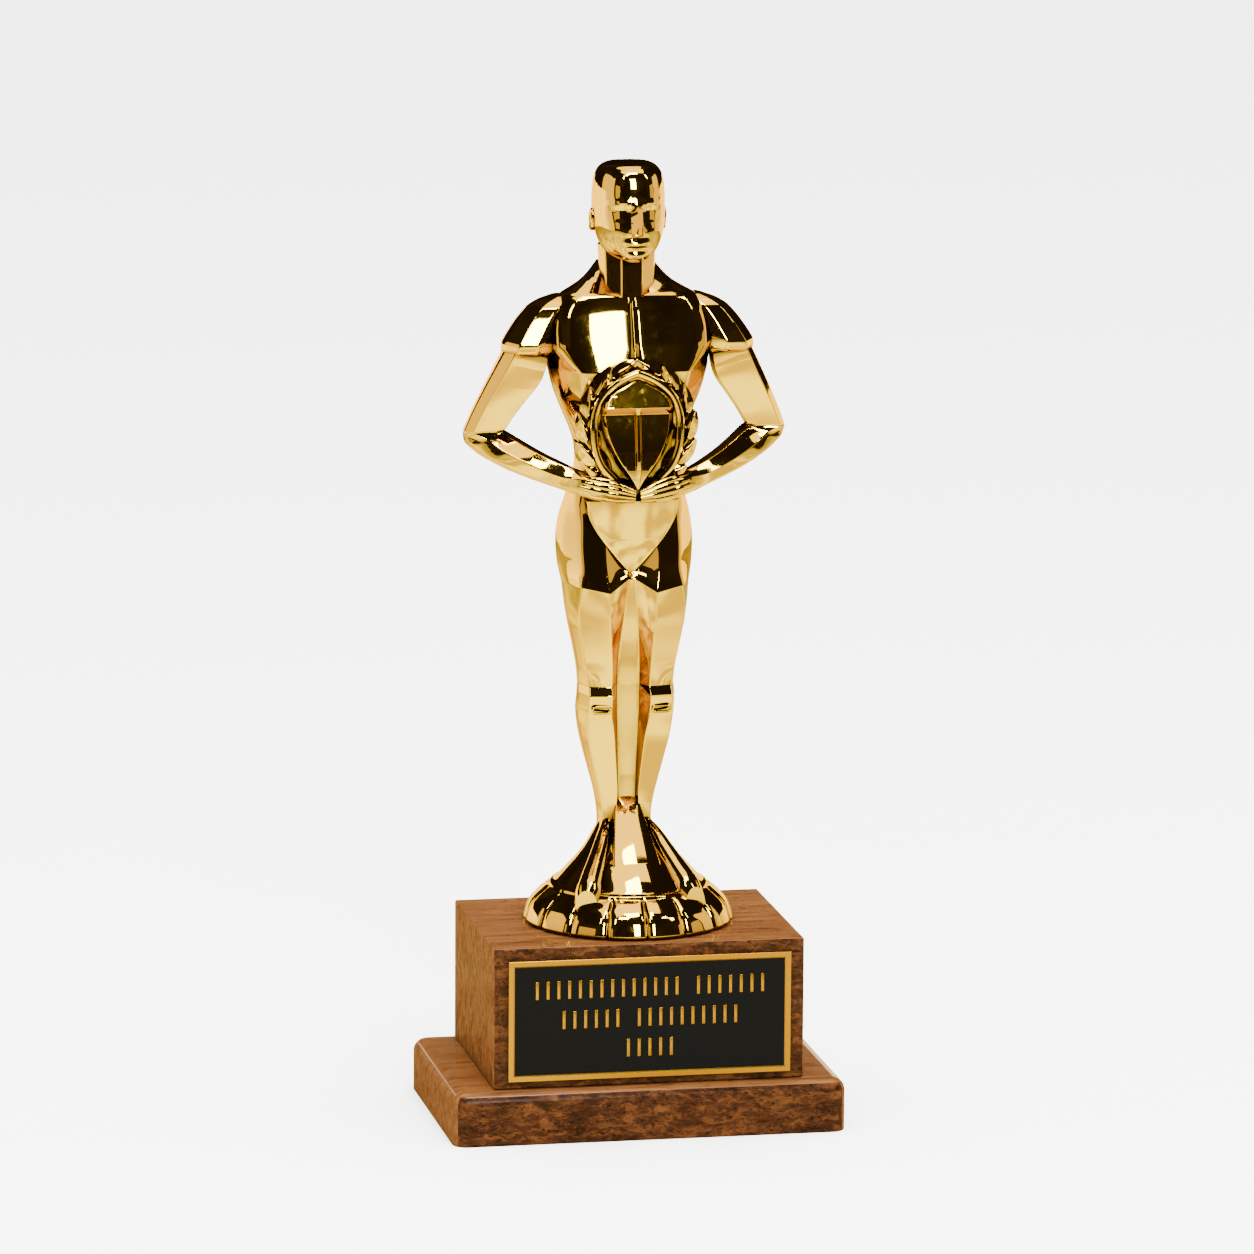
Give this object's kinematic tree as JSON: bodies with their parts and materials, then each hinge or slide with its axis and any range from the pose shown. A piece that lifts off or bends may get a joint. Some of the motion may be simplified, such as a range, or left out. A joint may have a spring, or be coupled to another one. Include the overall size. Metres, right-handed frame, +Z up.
{
  "type": "figural trophy",
  "caption": "Polished standing figure holding a laurel wreath and shield on a lobed dome, fixed to a wooden plinth with a nameplate and a low base board.",
  "frame": {"origin": "middle of the underside of the base board", "axes": "+Z up along the figure, -Y the way the figure and the nameplate face, +X to the viewer's right"},
  "size_m": [0.1248, 0.0808, 0.3014],
  "materials": {
    "polished_gold": "mirror polished, gold coloured plating",
    "lacquered_wood": "burr-figured brown wood under satin lacquer",
    "nameplate": "brass plate with a black enamelled field and a bright raised border"
  },
  "bodies": {
    "root": {"base_board": "lacquered_wood", "plinth_block": "lacquered_wood", "nameplate": "nameplate", "figure": "polished_gold"}
  },
  "joints": []
}
